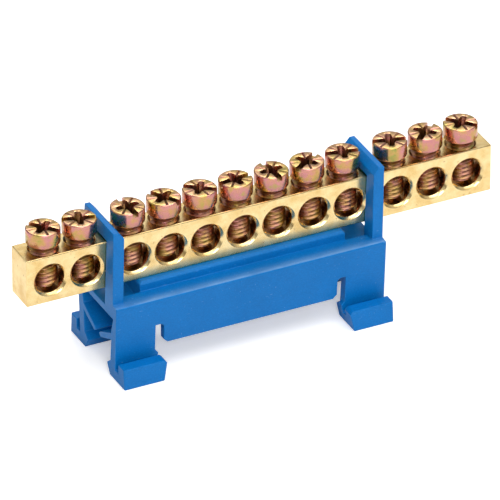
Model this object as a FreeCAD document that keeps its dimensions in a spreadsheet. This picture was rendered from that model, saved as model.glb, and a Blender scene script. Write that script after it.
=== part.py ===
import FreeCAD, Part
import os
import Sketcher

# Neutral terminal bar: a drilled brass bar with twelve clamp screws, carried by an insulating
# moulding that snaps on a 35 mm rail.  The bar runs along X, the wires enter along Y, the
# screws stand along Z and the feet rest at Z = 0.  Lengths are in millimetres, turns in degrees.

SIZES = [
    # brass bar
    ("bar_wall", 0.475), ("bar_height", 9.0), ("bar_edge", 0.2),
    ("head_spacing", 0.9), ("tower_room", 1.15), ("end_margin", 4.5),
    ("left_holes", 2), ("mid_holes", 7), ("right_holes", 3),
    ("wire_room", 0.45), ("bore_sink", 0.45), ("bore_height", 4.3), ("tap_floor", 0.15),
    # clamp screws
    ("thread_dia", 4.95), ("thread_clearance", 0.05), ("tip_gap", 0.75),
    ("head_rim", 0.45), ("head_height", 2.9), ("head_gap", 1.2),
    ("slot_width", 1.05), ("slot_depth", 1.3), ("cross_span", 4.2), ("cross_width", 1.15),
    ("cross_depth", 2.0), ("tick_width", 0.3), ("tick_depth", 0.16), ("tick_start", 1.0),
    ("tick_length", 1.6),
    # towers
    ("tower_thick", 2.0), ("tower_post", 2.65), ("tower_roof", 2.65), ("tower_flare", 0.6),
    ("tower_lean", 0.5), ("tower_tuck", 0.275), ("tower_shift", -0.6),
    ("bevel_run", 1.04), ("bevel_drop", 1.25), ("window_side_gap", 0.1), ("window_top_gap", 0.25),
    # ledge, rib and web
    ("web_top", 13.0), ("web_wall", 1.3), ("ledge_rise", 1.4), ("ledge_width", 3.55),
    ("ledge_round", 0.35), ("shoulder_gap", 1.1), ("rib_height", 3.15), ("rib_inset", 6.1),
    ("rib_bevel", 0.4),
    # walls and legs
    ("leg_draft", 0.8), ("leg_wall", 1.9), ("knee_drop", 2.2), ("knee_step", 0.55),
    ("root_step", 1.25), ("apron_step", 0.9), ("apron_base", 5.1),
    ("rail_width", 35.0), ("rail_clearance", 0.45),
    ("slot_gap", 1.55), ("slot_drop", 2.6), ("slot_round", 0.75), ("apron_bevel", 0.75),
    # feet
    ("gutter_width", 1.3), ("gutter_base", 1.95), ("lip_wall", 2.25), ("lip_top", 3.8),
    ("lip_draft", 0.3), ("foot_round", 0.3), ("foot_lead", 0.15), ("barb_reach", 1.35),
    ("barb_height", 1.95), ("barb_root", 3.0),
    ("nose_reach", 0.65), ("nose_height", 3.3), ("nose_root", 4.0),
    # fingers under the web
    ("finger_sink", 0.4), ("finger_gap", 0.9), ("root_thick", 1.4), ("finger_fall", 2.1),
    ("finger_tip", 1.15), ("tip_thick", 1.1), ("finger_end", 0.6),
    # how far a cut runs on past the surface where it leaves the part
    ("overcut", 1.0),
]
SCREW_TURNS = [-27, -10, -90, -49, -35, 10, -87, 34, -10, -11, 43, -48]

doc = FreeCAD.newDocument("terminal_bar")
sheet = doc.addObject("Spreadsheet::Sheet", "Sizes")
turns = [("turn_%02d" % (i + 1), t) for i, t in enumerate(SCREW_TURNS)]
for row, (name, number) in enumerate(SIZES + turns, start=1):
    sheet.set("A%d" % row, name)
    sheet.set("B%d" % row, str(number))
    sheet.setAlias("B%d" % row, name)
doc.recompute()


def size(rule):
    """Turn 'web_top - 2 * rib' into an expression that reads each word from the sheet."""
    return " ".join("Sizes." + word if word[0].isalpha() else word for word in rule.split())


def value(rule):
    return float(sheet.evalExpression(size(rule)))


def negative(rule):
    return rule if rule == "0" else "0 - ( " + rule + " )"


def bind(target, prop, rule):
    target.setExpression(prop, size(rule))


def new_body(label):
    body = doc.addObject("PartDesign::Body", label)
    body.Label = label
    return body


def new_sketch(body, name, plane, offset=None, turn=0):
    """A sketch on one of the body's own origin planes, lifted off it by the rule in offset."""
    sketch = body.newObject("Sketcher::SketchObject", name)
    datum = [f for f in body.Origin.OriginFeatures if f.Role == plane][0]
    sketch.AttachmentSupport = [(datum, "")]
    sketch.MapMode = "FlatFace"
    if turn:
        sketch.AttachmentOffset = FreeCAD.Placement(
            FreeCAD.Vector(), FreeCAD.Rotation(FreeCAD.Vector(0, 0, 1), turn))
    if offset:
        bind(sketch, "AttachmentOffset.Base.z", offset)
    doc.recompute()
    return sketch


def pin_point(sketch, geo, end, x_rule, y_rule):
    """Fix a point's distances from the sketch origin with rules over the sheet."""
    for kind, axis, rule in (("DistanceX", -2, x_rule), ("DistanceY", -1, y_rule)):
        if rule == "0":
            sketch.addConstraint(Sketcher.Constraint("PointOnObject", geo, end, axis))
        else:
            number = sketch.addConstraint(
                Sketcher.Constraint(kind, -1, 1, geo, end, value(rule)))
            bind(sketch, "Constraints[%d]" % number, rule)


def polygon(sketch, points):
    """A closed outline whose corners are pairs of rules."""
    spots = [FreeCAD.Vector(value(x), value(y), 0) for x, y in points]
    first = sketch.GeometryCount
    for i, spot in enumerate(spots):
        sketch.addGeometry(Part.LineSegment(spot, spots[(i + 1) % len(spots)]))
    for i, (x_rule, y_rule) in enumerate(points):
        following = first + (i + 1) % len(points)
        sketch.addConstraint(Sketcher.Constraint("Coincident", first + i, 2, following, 1))
        pin_point(sketch, first + i, 1, x_rule, y_rule)


def rectangle(sketch, x_low, x_high, y_low, y_high):
    polygon(sketch, [(x_low, y_low), (x_high, y_low), (x_high, y_high), (x_low, y_high)])


def mirrored(half):
    """Close a half outline, given on the positive side, with its mirror image."""
    return half + [(negative(x), y) for x, y in reversed(half)]


def pad(body, name, sketch, length, both=False, back=False):
    feature = body.newObject("PartDesign::Pad", name)
    feature.Profile = sketch
    bind(feature, "Length", length)
    feature.Midplane = both
    feature.Reversed = back
    doc.recompute()
    return feature


def pocket(body, name, sketch, depth=None, both=False, back=False):
    """Cut to the rule in depth, or through everything when no depth is given."""
    feature = body.newObject("PartDesign::Pocket", name)
    feature.Profile = sketch
    if depth:
        feature.Type = "Length"
        bind(feature, "Length", depth)
    else:
        feature.Type = "ThroughAll"
    feature.Midplane = both
    feature.Reversed = back
    doc.recompute()
    return feature


def edges_at(feature, wanted):
    """Names of the edges whose vertices all satisfy the test."""
    names = []
    for number, edge in enumerate(feature.Shape.Edges, start=1):
        if edge.Vertexes and all(wanted(v.Point) for v in edge.Vertexes):
            names.append("Edge%d" % number)
    return names


def fillet(body, name, base, edges, radius):
    feature = body.newObject("PartDesign::Fillet", name)
    feature.Base = (base, edges)
    bind(feature, "Radius", radius)
    doc.recompute()
    return feature


def near(a, b, slack=0.02):
    return abs(a - b) < slack


# sections that follow from the thread
TAP_DIA = "( thread_dia + 2 * thread_clearance )"
BORE_DIA = "( thread_dia + wire_room )"
HEAD_DIA = "( thread_dia + 2 * head_rim )"
BAR_WIDTH = "( thread_dia + 2 * thread_clearance + 2 * bar_wall )"
TAP_DEPTH = "( bar_height - bore_height + " + BORE_DIA + " / 2 - tap_floor )"
SHANK_LENGTH = "( head_gap + " + TAP_DEPTH + " - tip_gap )"

# hole positions along the bar, as rules from the bar's middle
PITCH = "( " + HEAD_DIA + " + head_spacing )"
TOWER_PITCH = "( " + HEAD_DIA + " + tower_thick + tower_room )"
BAR_LENGTH = ("( left_holes + mid_holes + right_holes - 3 ) * " + PITCH
              + " + 2 * " + TOWER_PITCH + " + 2 * end_margin")
LEFT_FIRST = "end_margin - ( " + BAR_LENGTH + " ) / 2"
MID_FIRST = LEFT_FIRST + " + ( left_holes - 1 ) * " + PITCH + " + " + TOWER_PITCH
RIGHT_FIRST = MID_FIRST + " + ( mid_holes - 1 ) * " + PITCH + " + " + TOWER_PITCH
HOLE_ROWS = [("left", LEFT_FIRST), ("mid", MID_FIRST), ("right", RIGHT_FIRST)]
BAR_HALF = "( " + BAR_LENGTH + " ) / 2"
CARRIER_HALF = ("( ( ( mid_holes - 1 ) * " + PITCH + " + " + TOWER_PITCH
                + " + tower_thick ) / 2 - tower_tuck )")
CARRIER_MIDDLE = "( " + MID_FIRST + " ) + ( mid_holes - 1 ) * " + PITCH + " / 2 + tower_shift"
RAIL_HALF = "( rail_width / 2 + rail_clearance )"
APRON_HALF = "( rail_width / 2 + rail_clearance - slot_gap )"

# heights and half widths of the carrier, from the web up and down and from the bar outwards
BAR_BASE = "( web_top + rib_height )"
BAR_TOP = "( web_top + rib_height + bar_height )"
LEDGE_TOP = "( web_top + ledge_rise )"
WINDOW_HALF = "( " + BAR_WIDTH + " / 2 + window_side_gap )"
WINDOW_TOP = BAR_TOP + " + window_top_gap"
SHOULDER_HALF = "( " + WINDOW_HALF + " + shoulder_gap )"
LEDGE_HALF = "( " + SHOULDER_HALF + " + ledge_width )"
LEG_HALF = "( " + LEDGE_HALF + " - leg_draft )"
LEG_INNER = "( " + LEG_HALF + " - leg_wall )"
APRON_INNER = "( " + LEG_INNER + " + apron_step )"
LIP_INNER = "( " + LEG_HALF + " + gutter_width )"
LIP_OUTER = "( " + LIP_INNER + " + lip_wall )"
TOWER_HALF = "( " + WINDOW_HALF + " + tower_post )"
TOWER_TOP = "( " + WINDOW_TOP + " + tower_roof )"
WEB_BASE = "( web_top - web_wall )"
KNEE_HEIGHT = "( web_top - web_wall - knee_drop )"
SLOT_TOP = "( web_top - web_wall - slot_drop )"
FINGER_ROOT_TOP = "( " + KNEE_HEIGHT + " - finger_gap )"
FINGER_ROOT_BASE = "( " + FINGER_ROOT_TOP + " - root_thick )"
FINGER_TIP_TOP = "( " + FINGER_ROOT_TOP + " - finger_fall )"
FINGER_TIP_BASE = "( " + FINGER_TIP_TOP + " - tip_thick )"


def origin_axis(body, role):
    return [f for f in body.Origin.OriginFeatures if f.Role == role][0]


# insulating carrier: one moulding, drawn about the middle of its length
carrier = new_body("insulating_carrier")
bind(carrier, "Placement.Base.x", CARRIER_MIDDLE)

section = new_sketch(carrier, "leg_section", "YZ_Plane")
polygon(section, mirrored([
    (SHOULDER_HALF, "web_top"), (SHOULDER_HALF, LEDGE_TOP), (LEDGE_HALF, LEDGE_TOP),
    (LEG_HALF, "gutter_base"), (LIP_INNER, "gutter_base"), (LIP_INNER, "lip_top"),
    (LIP_OUTER, "lip_top"), (LIP_OUTER + " + lip_draft", "0"), (LEG_INNER + " - foot_lead", "0"),
    (LEG_INNER + " - barb_reach", "barb_height"), (LEG_INNER, "barb_root"),
    (LEG_INNER + " + finger_sink", FINGER_ROOT_BASE), ("finger_tip", FINGER_TIP_BASE),
    ("finger_end", FINGER_TIP_TOP + " - tip_thick / 2"), ("finger_tip", FINGER_TIP_TOP),
    (LEG_INNER + " + finger_sink", FINGER_ROOT_TOP), (LEG_INNER + " + knee_step", KNEE_HEIGHT),
    (LEG_INNER + " + root_step", WEB_BASE)]))
pad(carrier, "walls_web_and_feet", section, "2 * " + CARRIER_HALF, both=True)

bay = new_sketch(carrier, "bay_outline", "XY_Plane")
rectangle(bay, "0 - " + RAIL_HALF, RAIL_HALF, "0 - " + APRON_INNER, APRON_INNER)
pocket(carrier, "bay_between_legs", bay, WEB_BASE, back=True)

gap = new_sketch(carrier, "rail_gap_outline", "XZ_Plane")
polygon(gap, mirrored([
    (APRON_HALF + " - apron_bevel", "apron_base"), (APRON_HALF, "apron_base + apron_bevel"),
    (APRON_HALF, SLOT_TOP), (RAIL_HALF, SLOT_TOP), (RAIL_HALF, "nose_root"),
    (RAIL_HALF + " - nose_reach", "nose_height"), (RAIL_HALF, "0"), (RAIL_HALF, "0 - overcut")]))
rail_gap = pocket(carrier, "rail_gap_and_slots", gap, both=True)

apron_end = value(APRON_HALF)
slot_rounds = fillet(carrier, "slot_rounds", rail_gap, edges_at(
    rail_gap, lambda p: near(abs(p.x), apron_end) and near(p.z, value(SLOT_TOP))), "slot_round")

# both towers lean by the same amount towards +X; each has its bevel on the inner side
towers = new_sketch(carrier, "tower_profiles", "XZ_Plane")
inner, outer = CARRIER_HALF + " - tower_thick", CARRIER_HALF
for inner_face, outer_face, bevel in (
        (inner, outer, " + bevel_run"), (negative(inner), negative(outer), " - bevel_run")):
    polygon(towers, [
        (inner_face, "web_top"), (outer_face, "web_top"), (outer_face, LEDGE_TOP),
        (outer_face + " + tower_lean", TOWER_TOP),
        (inner_face + bevel + " + tower_lean", TOWER_TOP),
        (inner_face + " + tower_lean", TOWER_TOP + " - bevel_drop"), (inner_face, LEDGE_TOP)])
pad(carrier, "leaning_towers", towers, "2 * " + TOWER_HALF + " + 2 * tower_flare", both=True)

wedges = new_sketch(carrier, "tower_side_wedges", "YZ_Plane")
wedge_outer = TOWER_HALF + " + tower_flare + overcut"
wedge = [(TOWER_HALF, TOWER_TOP), (TOWER_HALF + " + tower_flare", LEDGE_TOP),
         (wedge_outer, LEDGE_TOP), (wedge_outer, TOWER_TOP)]
polygon(wedges, wedge)
polygon(wedges, [(negative(y), z) for y, z in wedge])
pocket(carrier, "tower_side_tapers", wedges, both=True)

window = new_sketch(carrier, "window_outline", "YZ_Plane")
rectangle(window, "0 - " + WINDOW_HALF, WINDOW_HALF, "web_top", WINDOW_TOP)
pocket(carrier, "tower_windows", window, both=True)

rib = new_sketch(carrier, "rib_outline", "XY_Plane", "web_top")
rectangle(rib, "rib_inset - " + CARRIER_HALF, CARRIER_HALF + " - rib_inset",
          "0 - " + SHOULDER_HALF, SHOULDER_HALF)
rib_pad = pad(carrier, "saddle_rib", rib, "rib_height")

rib_end = value(CARRIER_HALF + " - rib_inset")
rib_ends = carrier.newObject("PartDesign::Chamfer", "rib_end_bevels")
rib_ends.Base = (rib_pad, edges_at(
    rib_pad, lambda p: near(abs(p.x), rib_end) and near(p.z, value(BAR_BASE))))
bind(rib_ends, "Size", "rib_bevel")
doc.recompute()

carrier_end = value(CARRIER_HALF)
foot_corners = fillet(carrier, "foot_corners", rib_ends, edges_at(
    rib_ends, lambda p: near(abs(p.x), carrier_end) and p.z < value("lip_top") + 0.02
    and abs(p.y) > value(LIP_OUTER) - 0.02), "foot_round")

fillet(carrier, "ledge_rounds", foot_corners, edges_at(
    foot_corners, lambda p: near(abs(p.y), value(LEDGE_HALF)) and near(p.z, value(LEDGE_TOP))),
    "ledge_round")

# brass bar: drawn about its own middle, with its underside at the sketch origin
bar = new_body("brass_bar")
bind(bar, "Placement.Base.z", BAR_BASE)
bar_section = new_sketch(bar, "bar_section", "YZ_Plane")
rectangle(bar_section, "0 - " + BAR_WIDTH + " / 2", BAR_WIDTH + " / 2", "0", "bar_height")
bar_pad = pad(bar, "drawn_bar", bar_section, BAR_LENGTH, both=True)

bar_edges = bar.newObject("PartDesign::Chamfer", "edge_breaks")
bar_edges.Base = (bar_pad, ["Edge%d" % n for n in range(1, len(bar_pad.Shape.Edges) + 1)])
bind(bar_edges, "Size", "bar_edge")
doc.recompute()

for row_name, first in HOLE_ROWS:
    profile = new_sketch(bar, row_name + "_bore_profile", "XY_Plane", "bore_height")
    middle, bore_side = "( " + first + " )", "( " + first + " ) + " + BORE_DIA + " / 2"
    front, rear = "0 - " + BAR_WIDTH + " / 2", BAR_WIDTH + " / 2"
    polygon(profile, [
        (middle, front), (bore_side + " + bore_sink", front),
        (bore_side, front + " + bore_sink"), (bore_side, rear), (middle, rear)])
    bore = bar.newObject("PartDesign::Groove", row_name + "_bore")
    bore.Profile = profile
    bore.ReferenceAxis = (profile, ["Edge5"])
    bore.Angle = 360
    doc.recompute()

    spot = new_sketch(bar, row_name + "_tap_spot", "XY_Plane", "bar_height")
    circle = spot.addGeometry(Part.Circle(
        FreeCAD.Vector(value(first), 0, 0), FreeCAD.Vector(0, 0, 1), value(TAP_DIA) / 2))
    pin_point(spot, circle, 3, first, "0")
    number = spot.addConstraint(Sketcher.Constraint("Diameter", circle, value(TAP_DIA)))
    bind(spot, "Constraints[%d]" % number, TAP_DIA)
    doc.recompute()
    tap = bar.newObject("PartDesign::Hole", row_name + "_tapped_hole")
    tap.Profile = spot
    doc.recompute()
    tap.ThreadType = "None"
    tap.DepthType = "Dimension"
    tap.DrillPoint = "Flat"
    tap.HoleCutType = "None"
    bind(tap, "Diameter", TAP_DIA)
    bind(tap, "Depth", TAP_DEPTH)
    doc.recompute()

    row = bar.newObject("PartDesign::LinearPattern", row_name + "_row")
    row.Originals = [bore, tap]
    row.Direction = (origin_axis(bar, "X_Axis"), [""])
    bind(row, "Occurrences", row_name + "_holes")
    bind(row, "Length", "( " + row_name + "_holes - 1 ) * " + PITCH)
    bar.Tip = row
    doc.recompute()


# clamp screws: each drawn with the underside of its head at the origin
def make_screw(number, x_rule):
    screw = new_body("screw_%02d" % number)
    bind(screw, "Placement.Base.x", x_rule)
    bind(screw, "Placement.Base.z", BAR_TOP + " + head_gap")
    screw.Placement.Rotation = FreeCAD.Rotation(FreeCAD.Vector(0, 0, 1), 0)
    bind(screw, "Placement.Rotation.Angle", "turn_%02d" % number)

    outline = new_sketch(screw, "outline_%02d" % number, "XZ_Plane")
    polygon(outline, [
        ("0", "head_height"), ("0", "0 - " + SHANK_LENGTH),
        ("thread_dia / 2", "0 - " + SHANK_LENGTH), ("thread_dia / 2", "0"),
        (HEAD_DIA + " / 2", "0"), (HEAD_DIA + " / 2", "head_height")])
    turned = screw.newObject("PartDesign::Revolution", "turned_blank_%02d" % number)
    turned.Profile = outline
    turned.ReferenceAxis = (outline, ["V_Axis"])
    turned.Angle = 360
    doc.recompute()

    slot = new_sketch(screw, "slot_%02d" % number, "XY_Plane", "head_height")
    rectangle(slot, "0 - " + HEAD_DIA, HEAD_DIA, "0 - slot_width / 2", "slot_width / 2")
    pocket(screw, "driver_slot_%02d" % number, slot, "slot_depth")

    cross = new_sketch(screw, "cross_%02d" % number, "XY_Plane", "head_height")
    arm, side = "cross_span / 2", "cross_width / 2"
    polygon(cross, [
        (arm, "0 - " + side), (arm, side), (side, side), (side, arm),
        ("0 - " + side, arm), ("0 - " + side, side), ("0 - " + arm, side),
        ("0 - " + arm, "0 - " + side), ("0 - " + side, "0 - " + side),
        ("0 - " + side, "0 - " + arm), (side, "0 - " + arm), (side, "0 - " + side)])
    pocket(screw, "cross_recess_%02d" % number, cross, "cross_depth")

    tick = new_sketch(screw, "tick_%02d" % number, "XY_Plane", "head_height", turn=45)
    rectangle(tick, "tick_start", "tick_start + tick_length",
              "0 - tick_width / 2", "tick_width / 2")
    groove = pocket(screw, "tick_groove_%02d" % number, tick, "tick_depth")
    ring = screw.newObject("PartDesign::PolarPattern", "tick_ring_%02d" % number)
    ring.Originals = [groove]
    ring.Axis = (origin_axis(screw, "Z_Axis"), [""])
    ring.Angle = 360
    ring.Occurrences = 4
    screw.Tip = ring
    doc.recompute()
    return screw


screws = []
for row_name, first in HOLE_ROWS:
    for step in range(int(value(row_name + "_holes"))):
        screws.append(make_screw(len(screws) + 1, first + " + %d * " % step + PITCH))

# checks and export
doc.recompute()
for item in doc.Objects:
    if "Invalid" in item.State or "Error" in item.State:
        raise RuntimeError(item.Name + " did not recompute")
os.makedirs("parts", exist_ok=True)
for node in [carrier, bar] + screws:
    if not node.Shape.isValid() or len(node.Shape.Solids) != 1:
        raise RuntimeError(node.Label + " is not one valid solid")
    node.Shape.exportStep("parts/" + node.Label + ".step")
    box = node.Shape.BoundBox
    print("%-20s volume %9.2f  x %7.2f %7.2f  y %6.2f %6.2f  z %6.2f %6.2f" % (
        node.Label, node.Shape.Volume, box.XMin, box.XMax, box.YMin, box.YMax, box.ZMin, box.ZMax))
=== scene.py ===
import math

import bmesh
import bpy
from mathutils import Matrix, Vector


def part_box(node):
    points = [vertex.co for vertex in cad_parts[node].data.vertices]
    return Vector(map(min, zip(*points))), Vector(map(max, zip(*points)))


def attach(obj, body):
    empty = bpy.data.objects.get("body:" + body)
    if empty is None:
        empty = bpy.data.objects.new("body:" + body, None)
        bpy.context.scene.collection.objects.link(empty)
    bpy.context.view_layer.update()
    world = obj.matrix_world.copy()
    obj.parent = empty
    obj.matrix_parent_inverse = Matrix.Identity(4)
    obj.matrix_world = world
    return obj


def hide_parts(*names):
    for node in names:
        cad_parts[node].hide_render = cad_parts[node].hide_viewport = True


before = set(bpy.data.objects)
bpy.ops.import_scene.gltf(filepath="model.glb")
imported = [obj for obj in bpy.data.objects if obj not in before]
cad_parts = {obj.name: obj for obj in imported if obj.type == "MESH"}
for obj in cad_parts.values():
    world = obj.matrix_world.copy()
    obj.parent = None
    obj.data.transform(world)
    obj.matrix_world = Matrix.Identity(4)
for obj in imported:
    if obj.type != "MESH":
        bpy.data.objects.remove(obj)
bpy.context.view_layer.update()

# The look of the neutral terminal bar: a drilled brass bar on a blue moulded carrier, with
# twelve yellow-passivated clamp screws.  Shapes are drawn in millimetres and scaled by MM;
# lights, floor and materials are in metres.

bar_low, bar_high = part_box("brass_bar")
MM = 0.001
scene = bpy.context.scene
SCREWS = ["screw_%02d" % n for n in range(1, 13)]
# how far each head is turned, in degrees
SCREW_TURNS = [-51, -16, -87, -57, -37, 7, -87, 35, -12, -15, 44, -48]

# screw thread
PITCH = 0.8
CREST, ROOT = 2.475, 2.0
SHANK, TIP_BEVEL = 7.7, 0.45
THREAD_ROUND, THREAD_TOUCH = 0.06, 0.01
THREAD_TOP, SPARE_TURNS = 0.3, 3
THREAD_STEPS = 56

# screw head: the curve under it is in pairs of distance in from the rim and height
HEAD_R, HEAD_H, RIM = 3.0, 2.9, 0.15
UNDER_CURVE = [(0.3, 0.0), (0.08, 0.2), (0.0, 0.35)]
SLOT_W, SLOT_D = 1.1, 0.75
CROSS_TIP, CROSS_ROOT, CROSS_SPAN, CROSS_D = 0.5, 0.76, 4.3, 2.0
CROSS_POINT, CROSS_TAPER = 0.12, 0.62
TICK_W, TICK_D, TICK_FROM, TICK_TO, TICK_OVER = 0.46, 0.28, 0.9, 2.85, 0.1

# brass bar
BORE_R, BORE_SINK, BORE_UP = 2.7, 0.45, 4.3
TAP_R, TAP_SINK, TAP_FLOOR = 2.525, 0.25, 0.15

# rounded edges: width, segments, least angle in degrees
HEAD_EDGE = (0.05, 2, 32)
BAR_CORNER = (0.2, 2, 60)
BAR_EDGE = (0.06, 2, 40)
CARRIER_EDGE = (0.12, 3, 28)
# edges from this angle on are shaded sharp, and faces wider than this width flat
SCREW_SHARP, BODY_SHARP = 42, 35
FLAT_WIDTH = 0.3
# facets of a full turn
ROUND_STEPS = 96
# how far a cutter runs past the surface where it leaves the part
PAST, CROSS_PAST, TAP_PAST = 0.5, 0.4, 0.3
# points nearer than this are one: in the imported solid, in metres, and on a cut, in millimetres
WELD, ON_CUT = 1e-6, 1e-4
FACET_ANGLE = 1.0

# how deep the painted shade is in the thread's grooves and under the head, and where each begins
GROOVE_SHADE, GROOVE_POWER = 0.62, 5
UNDER_SHADE, UNDER_TOP = 0.7, 0.24
TOP_BAND, RIM_BAND, JOIN_BAND = 0.08, 0.12, 0.02

# where a material changes, in metres: the band of painted sheen across the ledge and the heights of
# the ledge, then the depths of the bar's sawn ends, of its drawn skin and of its holes painted in
# shade
SHEEN_START, SHEEN_FULL, SHEEN_END = 0.0054, 0.0075, 0.0077
LEDGE_LOW, LEDGE_HIGH = 0.0143, 0.0147
SAWN_DEPTH, SKIN_DEPTH = 0.000075, 0.0002
HOLE_SHADE_FROM, HOLE_SHADE_FULL = 0.0026, 0.0018
BUMP_HEIGHT = 0.00003

# colours: each ramp in pairs of noise and colour, then the tints laid over it
BLUE_RAMP = [(0.3, (0.0, 0.148, 0.455)), (0.7, (0.0, 0.170, 0.52))]
# the third blue tint is a painted sheen for the ledges
BLUE_PORE, BLUE_MARK, BLUE_PAINTED_SHEEN = (0.0, 0.03, 0.10), (0.30, 0.46, 0.66), (0.30, 0.53, 0.82)
BRASS_RAMP = [(0.35, (0.79, 0.54, 0.21)), (0.62, (0.94, 0.74, 0.38))]
# the second brass tint is painted shade for the walls of the holes
BRASS_STAIN, BRASS_HOLE_SHADE = (0.42, 0.20, 0.08), (0.30, 0.13, 0.04)
ZINC_RAMP = [
    (0.28, (0.30, 0.33, 0.09)), (0.36, (0.50, 0.36, 0.11)), (0.44, (0.61, 0.33, 0.15)),
    (0.51, (0.63, 0.28, 0.23)), (0.60, (0.61, 0.24, 0.27)), (0.72, (0.44, 0.34, 0.13))]
ZINC_BLOT, ZINC_TOP_SHADE, ZINC_SHADE = (0.52, 0.33, 0.09), (0.50, 0.37, 0.13), (0.10, 0.04, 0.015)
PAPER_RAMP = [(0.3, (0.92, 0.92, 0.92)), (0.7, (0.94, 0.94, 0.94))]

# the sky's brightness low and high, the heights between which it rises, and the light that
# the camera alone sees on the floor
SKY_LOW, SKY_HIGH = 0.12, 0.62
SKY_FROM, SKY_TO = 0.05, 0.5
FLOOR_LIFT = 0.35
FLOOR_HALF, FLOOR_DROP = 1.0, 0.00002

# name, place, aim, size, power
AIM_POINT = (0, 0, 0.015)
SOFT_BOXES = [
    ("overhead", (0.12, -0.32, 1.02), AIM_POINT, (1.05, 0.85), 6.0),
    ("key_left", (-0.30, -0.86, 0.56), AIM_POINT, (0.45, 0.30), 4.0),
    ("back_strip", (0.33, 0.68, 0.84), AIM_POINT, (0.5, 0.16), 2.2)]

# The camera stands where the photograph's lines put it: degrees, millimetres and pixels.
AZIMUTH, ELEVATION, DISTANCE = 25.976, 31.484, 1749.0
AIM = Vector((-0.875, 0, 18.0))
SLIDE_RIGHT, SLIDE_UP = -0.23, 3.09
FOCAL_PIXELS, FRAME_PIXELS = 10284.0, 500.0
SENSOR, CLIP_NEAR, CLIP_FAR = 36.0, 0.1, 10.0


# mesh helpers
def new_object(name, data):
    obj = bpy.data.objects.new(name, data)
    scene.collection.objects.link(obj)
    return obj


def mesh_from(name, verts, faces):
    mesh = bpy.data.meshes.new(name)
    mesh.from_pydata([tuple(v) for v in verts], [], faces)
    mesh.update()
    return mesh


def fix_normals(mesh):
    bm = bmesh.new()
    bm.from_mesh(mesh)
    bmesh.ops.recalc_face_normals(bm, faces=bm.faces)
    bm.to_mesh(mesh)
    bm.free()


def smooth(mesh, angle):
    """Shade a finished mesh, in metres: curved strips smooth, wide faces truly flat."""
    mesh.shade_smooth()
    mesh.set_sharp_from_angle(angle=math.radians(angle))
    for face in mesh.polygons:
        ring = [mesh.vertices[i].co for i in face.vertices]
        around = sum((a - b).length for a, b in zip(ring, ring[1:] + ring[:1]))
        if 2 * face.area > FLAT_WIDTH * MM * around:
            face.use_smooth = False


def lathe(profile, steps):
    """Turn (radius, height) pairs about Z; a pair at radius 0 becomes one vertex."""
    verts, rings = [], []
    for radius, height in profile:
        if radius == 0:
            rings.append([len(verts)] * steps)
            verts.append((0, 0, height))
            continue
        rings.append(list(range(len(verts), len(verts) + steps)))
        for i in range(steps):
            angle = 2 * math.pi * i / steps
            verts.append((radius * math.cos(angle), radius * math.sin(angle), height))
    faces = []
    for low, high in zip(rings, rings[1:]):
        for i in range(steps):
            j = (i + 1) % steps
            face = []
            for index in (low[i], low[j], high[j], high[i]):
                if index not in face:
                    face.append(index)
            if len(face) > 2:
                faces.append(face)
    return verts, faces


def prism(outline, low, high, inset=1.0):
    """Close a flat outline between two heights; inset scales the lower end."""
    n = len(outline)
    verts = [(x * inset, y * inset, low) for x, y in outline]
    verts += [(x, y, high) for x, y in outline]
    faces = [list(range(n - 1, -1, -1)), list(range(n, 2 * n))]
    faces += [[i, (i + 1) % n, n + (i + 1) % n, n + i] for i in range(n)]
    return verts, faces


def turned(shape, angle):
    verts, faces = shape
    c, s = math.cos(math.radians(angle)), math.sin(math.radians(angle))
    return [(x * c - y * s, x * s + y * c, z) for x, y, z in verts], faces


def merge(shapes):
    verts, faces = [], []
    for shape_verts, shape_faces in shapes:
        start = len(verts)
        verts += list(shape_verts)
        faces += [[start + i for i in face] for face in shape_faces]
    return verts, faces


def evaluated(obj):
    """The mesh that the object's modifiers give."""
    bpy.context.view_layer.update()
    graph = bpy.context.evaluated_depsgraph_get()
    return bpy.data.meshes.new_from_object(obj.evaluated_get(graph))


def cut(base, cutters):
    """Subtract each cutter shape from the base mesh."""
    target = new_object("work_base", base)
    helpers = []
    for shape in cutters:
        helper = new_object("work_cutter", mesh_from("work_cutter", *shape))
        fix_normals(helper.data)
        modifier = target.modifiers.new("cut", "BOOLEAN")
        modifier.operation = "DIFFERENCE"
        modifier.solver = "EXACT"
        modifier.object = helper
        helpers.append(helper)
    result = evaluated(target)
    for obj in helpers + [target]:
        bpy.data.objects.remove(obj)
    return result


def bevelled(mesh, width, segments, angle):
    """Round every edge that is sharper than the angle, in degrees."""
    obj = new_object("work_bevel", mesh)
    modifier = obj.modifiers.new("bevel", "BEVEL")
    modifier.width = width
    modifier.segments = segments
    modifier.limit_method = "ANGLE"
    modifier.angle_limit = math.radians(angle)
    modifier.harden_normals = False
    result = evaluated(obj)
    bpy.data.objects.remove(obj)
    return result


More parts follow.
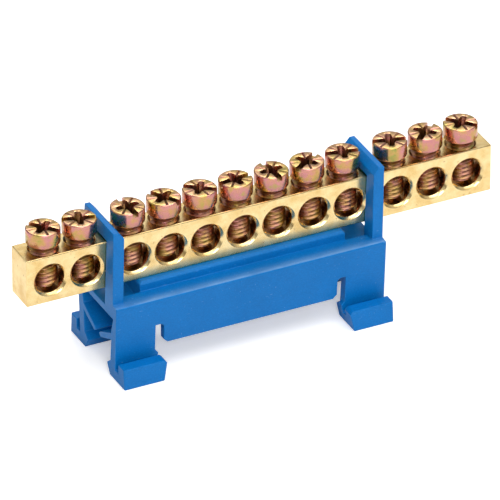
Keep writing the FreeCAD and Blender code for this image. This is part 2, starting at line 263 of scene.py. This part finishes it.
# node helpers
class Nodes:
    """Small wrapper that keeps the material graphs short."""

    def __init__(self, name):
        self.material = bpy.data.materials.new(name)
        self.material.use_nodes = True
        self.tree = self.material.node_tree
        self.shader = self.tree.nodes["Principled BSDF"]

    def put(self, node, key, val):
        socket = node.inputs[key]
        if isinstance(val, bpy.types.NodeSocket):
            self.tree.links.new(val, socket)
        else:
            socket.default_value = val

    def math(self, operation, a, b=0.0):
        node = self.tree.nodes.new("ShaderNodeMath")
        node.operation = operation
        for i, val in enumerate((a, b)):
            self.put(node, i, val)
        return node.outputs[0]

    def product(self, *factors):
        total = factors[0]
        for factor in factors[1:]:
            total = self.math("MULTIPLY", total, factor)
        return total

    def spread(self, val, low, high, to_low=0.0, to_high=1.0):
        """Map low..high to to_low..to_high, and hold it there on both sides."""
        node = self.tree.nodes.new("ShaderNodeMapRange")
        for i, number in enumerate((val, low, high, to_low, to_high)):
            self.put(node, i, number)
        return node.outputs[0]

    def point(self, scale=(1, 1, 1), shift=(0, 0, 0)):
        coord = self.tree.nodes.new("ShaderNodeTexCoord").outputs["Object"]
        mapping = self.tree.nodes.new("ShaderNodeMapping")
        self.tree.links.new(coord, mapping.inputs["Vector"])
        mapping.inputs["Scale"].default_value = scale
        mapping.inputs["Location"].default_value = shift
        return mapping.outputs["Vector"]

    def parts(self, vector):
        split = self.tree.nodes.new("ShaderNodeSeparateXYZ")
        self.tree.links.new(vector, split.inputs[0])
        return split.outputs["X"], split.outputs["Y"], split.outputs["Z"]

    def noise(self, scale, detail=3.0, rough=0.5, stretch=(1, 1, 1), shift=(0, 0, 0)):
        """Noise in the object's own metres: scale is blotches a metre."""
        node = self.tree.nodes.new("ShaderNodeTexNoise")
        self.tree.links.new(self.point(stretch, shift), node.inputs["Vector"])
        node.inputs["Scale"].default_value = scale
        node.inputs["Detail"].default_value = detail
        node.inputs["Roughness"].default_value = rough
        return node.outputs["Fac"]

    def ramp(self, fac, stops):
        node = self.tree.nodes.new("ShaderNodeValToRGB")
        self.tree.links.new(fac, node.inputs["Fac"])
        ramp = node.color_ramp
        while len(ramp.elements) < len(stops):
            ramp.elements.new(0.5)
        for element, (position, color) in zip(ramp.elements, stops):
            element.position = position
            element.color = (*color, 1.0)
        return node.outputs["Color"]

    def mix(self, fac, a, b):
        node = self.tree.nodes.new("ShaderNodeMix")
        node.data_type = "RGBA"
        for i, val in zip((0, 6, 7), (fac, a, b)):
            self.put(node, i, (*val, 1.0) if isinstance(val, tuple) else val)
        return node.outputs[2]

    def bump(self, height, strength):
        node = self.tree.nodes.new("ShaderNodeBump")
        node.inputs["Strength"].default_value = strength
        node.inputs["Distance"].default_value = BUMP_HEIGHT
        self.tree.links.new(height, node.inputs["Height"])
        return node.outputs["Normal"]

    def set(self, **inputs):
        """Fill the shader's sockets, with _ for each blank in a name, and give the material."""
        for key, val in inputs.items():
            self.put(self.shader, key.replace("_", " "), val)
        return self.material


# materials
def blue_plastic():
    n = Nodes("blue_plastic")
    color = n.ramp(n.noise(90, 3, 0.6), BLUE_RAMP)
    pores = n.spread(n.noise(3200, 2, 0.6, (1, 1, 2)), 0.35, 0.65)
    color = n.mix(n.math("MULTIPLY", pores, 0.18), color, BLUE_PORE)
    dust = n.spread(n.noise(2600, 2, 0.5), 0.71, 0.75, 0.0, 0.24)
    scratch = n.spread(n.noise(1500, 2, 0.5, (0.45, 1, 2.2), (1, 2, 3)), 0.71, 0.76, 0.0, 0.14)
    marks = n.math("MAXIMUM", dust, scratch)
    color = n.mix(marks, color, BLUE_MARK)
    # painted sheen: the outer half of both ledges is painted paler, a painted reflection of the
    # lamps on the ledge
    _, y, z = n.parts(n.point())
    side = n.math("ABSOLUTE", y)
    outwards = n.spread(side, SHEEN_START, SHEEN_FULL)
    on_ledge = n.math("MULTIPLY", n.math("GREATER_THAN", z, LEDGE_LOW),
                      n.math("LESS_THAN", z, LEDGE_HIGH))
    patchy = n.spread(n.noise(420, 3, 0.6, (0.3, 1, 1)), 0.3, 0.6, 0.14, 0.46)
    painted_sheen = n.product(outwards, outwards, n.spread(side, SHEEN_END, SHEEN_FULL), on_ledge, patchy)
    color = n.mix(painted_sheen, color, BLUE_PAINTED_SHEEN)
    rough = n.spread(n.noise(260, 3, 0.6), 0.3, 0.7, 0.38, 0.46)
    rough = n.math("ADD", rough, n.math("MULTIPLY", marks, 0.5))
    return n.set(Base_Color=color, Roughness=rough, Normal=n.bump(n.noise(1500, 3, 0.55), 0.16),
                 IOR=1.5, Specular_IOR_Level=0.22)


def brass():
    n = Nodes("brass")
    color = n.ramp(n.noise(300, 4, 0.65), BRASS_RAMP)
    stain = n.spread(n.noise(1300, 2, 0.5, (1, 1, 1), (3, 1, 2)), 0.67, 0.73, 0.0, 0.6)
    color = n.mix(stain, color, BRASS_STAIN)
    x, y, z = n.parts(n.point())
    sawn = n.math("GREATER_THAN", n.math("ABSOLUTE", x), bar_high.x - SAWN_DEPTH)
    # painted shade: the walls of the bores and tapped holes are painted darker than the drawn faces
    hole_shade = n.product(n.math("LESS_THAN", z, bar_high.z - SKIN_DEPTH),
                       n.math("GREATER_THAN", z, bar_low.z + SKIN_DEPTH),
                       n.math("SUBTRACT", 1.0, sawn),
                       n.spread(n.math("ABSOLUTE", y), HOLE_SHADE_FROM, HOLE_SHADE_FULL))
    color = n.mix(n.math("MULTIPLY", hole_shade, 0.62), color, BRASS_HOLE_SHADE)
    # the faces are streaked along the bar where it was drawn and upright where it was sawn
    streak = n.noise(900, 3, 0.6, (0.02, 1, 1))
    grain = n.mix(sawn, streak, n.noise(5200, 2, 0.5, (1, 1, 0.03)))
    rough = n.spread(streak, 0.3, 0.7, 0.18, 0.28)
    rough = n.math("ADD", rough, n.math("MULTIPLY", sawn, 0.14))
    return n.set(Base_Color=color, Metallic=1.0, Roughness=rough, Normal=n.bump(grain, 0.16))


def zinc():
    n = Nodes("yellow_zinc")
    color = n.ramp(n.noise(420, 3, 0.55), ZINC_RAMP)
    blot = n.spread(n.noise(1500, 3, 0.6), 0.35, 0.75, 0.0, 0.4)
    color = n.mix(blot, color, ZINC_BLOT)
    # painted shade: where they face up, the heads are painted more olive and darker for the tops'
    # duller reflection; the flat tops are also rougher than the turned sides
    normal = n.tree.nodes.new("ShaderNodeNewGeometry").outputs["Normal"]
    _, _, upwards = n.parts(normal)
    top = n.spread(upwards, 0.7, 0.95, 0.0, 0.55)
    color = n.mix(top, color, ZINC_TOP_SHADE)
    depth = n.tree.nodes.new("ShaderNodeAttribute")
    depth.attribute_name = "shade"
    shade = depth.outputs["Fac"]
    # painted shade darkens the recess, the underside of the head and the thread's grooves
    color = n.mix(n.math("MULTIPLY", shade, 0.88), color, ZINC_SHADE)
    rough = n.spread(n.noise(1100, 3, 0.6), 0.3, 0.7, 0.18, 0.30)
    rough = n.math("ADD", rough, n.math("MULTIPLY", shade, 0.12))
    rough = n.math("ADD", rough, n.math("MULTIPLY", top, 0.12))
    return n.set(Base_Color=color, Metallic=1.0, Roughness=rough,
                 Normal=n.bump(n.noise(2400, 2, 0.5), 0.09))


def floor_paper():
    n = Nodes("floor_paper")
    color = n.ramp(n.noise(60, 3, 0.5), PAPER_RAMP)
    # the camera alone sees the floor lifted to plain white; metal reflects it as it is lit
    seen = n.tree.nodes.new("ShaderNodeLightPath").outputs["Is Camera Ray"]
    return n.set(Base_Color=color, Roughness=0.9, Emission_Color=(1, 1, 1, 1),
                 Emission_Strength=n.math("MULTIPLY", seen, FLOOR_LIFT))


def dress(obj, material):
    obj.data.materials.clear()
    obj.data.materials.append(material)


# clamp screws
def thread_shape():
    """A right-hand helical thread as a grid that follows the helix, cut flat at both ends."""
    # one turn's section: share of the pitch, radius
    section = [
        (0.00, ROOT), (0.07, ROOT + THREAD_TOUCH), (0.13, ROOT + THREAD_ROUND),
        (0.41, CREST - THREAD_ROUND), (0.45, CREST - THREAD_TOUCH),
        (0.49, CREST - THREAD_TOUCH), (0.53, CREST - THREAD_ROUND),
        (0.87, ROOT + THREAD_ROUND), (0.94, ROOT + THREAD_TOUCH)]
    turns = int(SHANK / PITCH) + SPARE_TURNS
    start = -SHANK - SPARE_TURNS / 2 * PITCH
    rows = [(turn + share, radius) for turn in range(turns) for share, radius in section]
    bm = bmesh.new()
    for along, radius in rows:
        for i in range(THREAD_STEPS):
            angle = 2 * math.pi * i / THREAD_STEPS
            height = start + (along + i / THREAD_STEPS) * PITCH
            r = min(radius, CREST - TIP_BEVEL + max(height + SHANK, 0.0))
            bm.verts.new((r * math.cos(angle), r * math.sin(angle), height))
    bm.verts.ensure_lookup_table()
    for j in range(len(rows) - 1):
        for i in range(THREAD_STEPS):
            k = (i + 1) % THREAD_STEPS
            up = len(section) if k == 0 else 0
            a, b = j * THREAD_STEPS + i, (j + up) * THREAD_STEPS + k
            c, d = (j + 1 + up) * THREAD_STEPS + k, (j + 1) * THREAD_STEPS + i
            if c < len(bm.verts):
                bm.faces.new([bm.verts[index] for index in (a, b, c, d)])
    for height, up in ((-SHANK, -1), (THREAD_TOP, 1)):
        geom = bm.verts[:] + bm.edges[:] + bm.faces[:]
        bmesh.ops.bisect_plane(bm, geom=geom, plane_co=(0, 0, height), plane_no=(0, 0, up),
                               clear_outer=True)
        edges = [e for e in bm.edges if e.is_boundary
                 and all(abs(v.co.z - height) < ON_CUT for v in e.verts)]
        bmesh.ops.holes_fill(bm, edges=edges, sides=0)
    loose = [v for v in bm.verts if not v.link_faces]
    bmesh.ops.delete(bm, geom=loose, context="VERTS")
    bmesh.ops.recalc_face_normals(bm, faces=bm.faces)
    mesh = bpy.data.meshes.new("thread")
    bm.to_mesh(mesh)
    bm.free()
    return mesh


def head_shape():
    """The cylinder head with its slot, cross recess and four radial grooves."""
    under = [(HEAD_R - inwards, height) for inwards, height in UNDER_CURVE]
    top = [(HEAD_R, HEAD_H - RIM), (HEAD_R - RIM, HEAD_H)]
    blank = mesh_from("head", *lathe([(0, 0.0)] + under + top + [(0, HEAD_H)], ROUND_STEPS))
    fix_normals(blank)

    reach, half = HEAD_R + 1, SLOT_W / 2
    slot = prism([(-reach, -half), (reach, -half), (reach, half), (-reach, half)],
                 HEAD_H - SLOT_D, HEAD_H + PAST)

    arm = CROSS_SPAN / 2
    quarter = [(arm, -CROSS_TIP, 0), (arm + CROSS_POINT, 0.0, 0), (arm, CROSS_TIP, 0),
               (CROSS_ROOT, CROSS_ROOT, 0)]
    plus = []
    for turn in range(4):
        corners, _ = turned((quarter, []), 90 * turn)
        plus += [(x, y) for x, y, z in corners]
    cross = prism(plus, HEAD_H - CROSS_D, HEAD_H + CROSS_PAST, CROSS_TAPER)

    half = TICK_W / 2 * (1 + TICK_OVER)
    section = [(-half, HEAD_H + TICK_OVER * TICK_D), (half, HEAD_H + TICK_OVER * TICK_D),
               (0.0, HEAD_H - TICK_D)]
    groove = ([(x, y, z) for x in (TICK_FROM, TICK_TO) for y, z in section],
              [(0, 1, 2), (5, 4, 3), (0, 3, 4, 1), (1, 4, 5, 2), (2, 5, 3, 0)])
    ticks = [turned(groove, 45 + 90 * turn) for turn in range(4)]
    return cut(blank, [slot, cross, merge(ticks)])


def shade_depths(mesh, matrix):
    """Store as painted shade how deep each vertex lies in the recess, under the head or between the
    threads.
    """
    attribute = mesh.attributes.new("shade", "FLOAT", "POINT")
    back = matrix.inverted()
    for vertex, item in zip(mesh.vertices, attribute.data):
        x, y, z = back @ vertex.co
        radius = math.hypot(x, y)
        if z < -JOIN_BAND:
            rise = min(max((radius - ROOT) / (CREST - ROOT), 0.0), 1.0)
            item.value = GROOVE_SHADE * (1.0 - rise ** GROOVE_POWER)
        elif z < UNDER_TOP:
            item.value = UNDER_SHADE
        elif z < HEAD_H - TOP_BAND and radius < HEAD_R - RIM_BAND:
            item.value = min((HEAD_H - z) / TICK_D, 1.0)


def make_screws(material):
    """Twelve copies of one head and thread, each set on its solid's box and turned."""
    shapes = [bevelled(head_shape(), *HEAD_EDGE), thread_shape()]
    for name, turn in zip(SCREWS, SCREW_TURNS):
        low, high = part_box(name)
        seat = Vector(((low.x + high.x) / 2, (low.y + high.y) / 2, high.z - HEAD_H * MM))
        matrix = (Matrix.Translation(seat) @ Matrix.Rotation(math.radians(turn), 4, "Z")
                  @ Matrix.Scale(MM, 4))
        bm = bmesh.new()
        for shape in shapes:
            copy = shape.copy()
            copy.transform(matrix)
            bm.from_mesh(copy)
        mesh = bpy.data.meshes.new("clamp_" + name)
        bm.to_mesh(mesh)
        bm.free()
        smooth(mesh, SCREW_SHARP)
        shade_depths(mesh, matrix)
        screw = new_object("clamp_" + name, mesh)
        dress(screw, material)
        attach(screw, name.replace("screw", "clamp"))
        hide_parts(name)


def make_bar(material):
    """The drawn bar, with its corners broken and both rows of holes cut and countersunk."""
    end = (bar_high.x - bar_low.x) / MM / 2
    side = (bar_high.y - bar_low.y) / MM / 2
    tall = (bar_high.z - bar_low.z) / MM
    blank = mesh_from("bar", *prism([(-end, -side), (end, -side), (end, side), (-end, side)],
                                    0.0, tall))
    blank = bevelled(blank, *BAR_CORNER)

    out, wide = side + PAST, BORE_R + BORE_SINK + PAST
    bore_cutter = lathe([(0, -out), (wide, -out), (BORE_R, BORE_SINK - side),
                         (BORE_R, side - BORE_SINK), (wide, out), (0, out)], ROUND_STEPS)
    floor, wide = BORE_UP - BORE_R + TAP_FLOOR, TAP_R + TAP_SINK + TAP_PAST
    tap_cutter = lathe([(0, floor), (TAP_R, floor), (TAP_R, tall - TAP_SINK),
                        (wide, tall + TAP_PAST), (0, tall + TAP_PAST)], ROUND_STEPS)
    bores, taps = [], []
    for name in SCREWS:
        low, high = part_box(name)
        middle = (low.x + high.x) / 2 / MM
        # the bore's cutter is laid over from Z to Y
        verts, faces = bore_cutter
        bores.append(([(x + middle, z, y + BORE_UP) for x, y, z in verts], faces))
        verts, faces = tap_cutter
        taps.append(([(x + middle, y, z) for x, y, z in verts], faces))

    mesh = bevelled(cut(blank, [merge(bores), merge(taps)]), *BAR_EDGE)
    mesh.transform(Matrix.Translation((0, 0, bar_low.z)) @ Matrix.Scale(MM, 4))
    smooth(mesh, BODY_SHARP)
    bar = new_object("drilled_bar", mesh)
    dress(bar, material)
    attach(bar, "base")
    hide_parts("brass_bar")


def make_carrier(material):
    """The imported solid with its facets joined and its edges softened."""
    bm = bmesh.new()
    bm.from_mesh(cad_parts["insulating_carrier"].data)
    bmesh.ops.remove_doubles(bm, verts=bm.verts, dist=WELD)
    bmesh.ops.dissolve_limit(bm, angle_limit=math.radians(FACET_ANGLE), verts=bm.verts,
                             edges=bm.edges)
    shell = bpy.data.meshes.new("moulding")
    bm.to_mesh(shell)
    bm.free()
    shell.transform(Matrix.Scale(1 / MM, 4))
    shell = bevelled(shell, *CARRIER_EDGE)
    shell.transform(Matrix.Scale(MM, 4))
    smooth(shell, BODY_SHARP)
    moulding = new_object("moulded_carrier", shell)
    dress(moulding, material)
    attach(moulding, "base")
    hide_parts("insulating_carrier")


# surroundings
def make_floor():
    corners = [(x * FLOOR_HALF, y * FLOOR_HALF, 0) for x, y in ((-1, -1), (1, -1), (1, 1), (-1, 1))]
    floor = new_object("floor", mesh_from("floor", corners, [(0, 1, 2, 3)]))
    floor.location.z = -FLOOR_DROP
    dress(floor, floor_paper())


def make_sky():
    """A sky that is dark at the horizon and brighter overhead; the camera alone sees white."""
    world = bpy.data.worlds.new("studio")
    scene.world = world
    world.use_nodes = True
    tree = world.node_tree
    background = tree.nodes["Background"]
    coord = tree.nodes.new("ShaderNodeTexCoord")
    split = tree.nodes.new("ShaderNodeSeparateXYZ")
    tree.links.new(coord.outputs["Generated"], split.inputs[0])
    rise = tree.nodes.new("ShaderNodeMapRange")
    tree.links.new(split.outputs["Z"], rise.inputs[0])
    for i, number in enumerate((SKY_FROM, SKY_TO, SKY_LOW, SKY_HIGH), start=1):
        rise.inputs[i].default_value = number
    path = tree.nodes.new("ShaderNodeLightPath")
    choose = tree.nodes.new("ShaderNodeMix")
    tree.links.new(path.outputs["Is Camera Ray"], choose.inputs[0])
    tree.links.new(rise.outputs[0], choose.inputs[2])
    choose.inputs[3].default_value = 1.0
    tree.links.new(choose.outputs[0], background.inputs["Strength"])
    background.inputs["Color"].default_value = (1, 1, 1, 1)


def make_soft_box(name, place, target, size, power):
    lamp = bpy.data.lights.new(name, "AREA")
    lamp.shape = "RECTANGLE"
    lamp.size, lamp.size_y = size
    lamp.energy = power
    obj = new_object(name, lamp)
    obj.location = place
    obj.rotation_mode = "QUATERNION"
    aim = Vector(target) - Vector(place)
    obj.rotation_quaternion = aim.to_track_quat("-Z", "Y")


def make_camera():
    azimuth, elevation = math.radians(AZIMUTH), math.radians(ELEVATION)
    right = Vector((math.cos(azimuth), -math.sin(azimuth), 0))
    up = Vector((math.sin(azimuth) * math.sin(elevation), math.cos(azimuth) * math.sin(elevation),
                 math.cos(elevation)))
    back = Vector((-math.sin(azimuth) * math.cos(elevation),
                   -math.cos(azimuth) * math.cos(elevation), math.sin(elevation)))
    lens = bpy.data.cameras.new("camera")
    lens.sensor_width = SENSOR
    lens.lens = SENSOR * FOCAL_PIXELS / FRAME_PIXELS
    lens.clip_start, lens.clip_end = CLIP_NEAR, CLIP_FAR
    camera = new_object("camera", lens)
    camera.location = (AIM - SLIDE_RIGHT * right - SLIDE_UP * up + DISTANCE * back) * MM
    camera.rotation_mode = "QUATERNION"
    camera.rotation_quaternion = (-back).to_track_quat("-Z", "Y")
    scene.camera = camera


blue_material, brass_material, zinc_material = blue_plastic(), brass(), zinc()
make_screws(zinc_material)
make_bar(brass_material)
make_carrier(blue_material)
make_floor()
make_sky()
for box in SOFT_BOXES:
    make_soft_box(*box)
make_camera()
scene.view_settings.view_transform = "Standard"
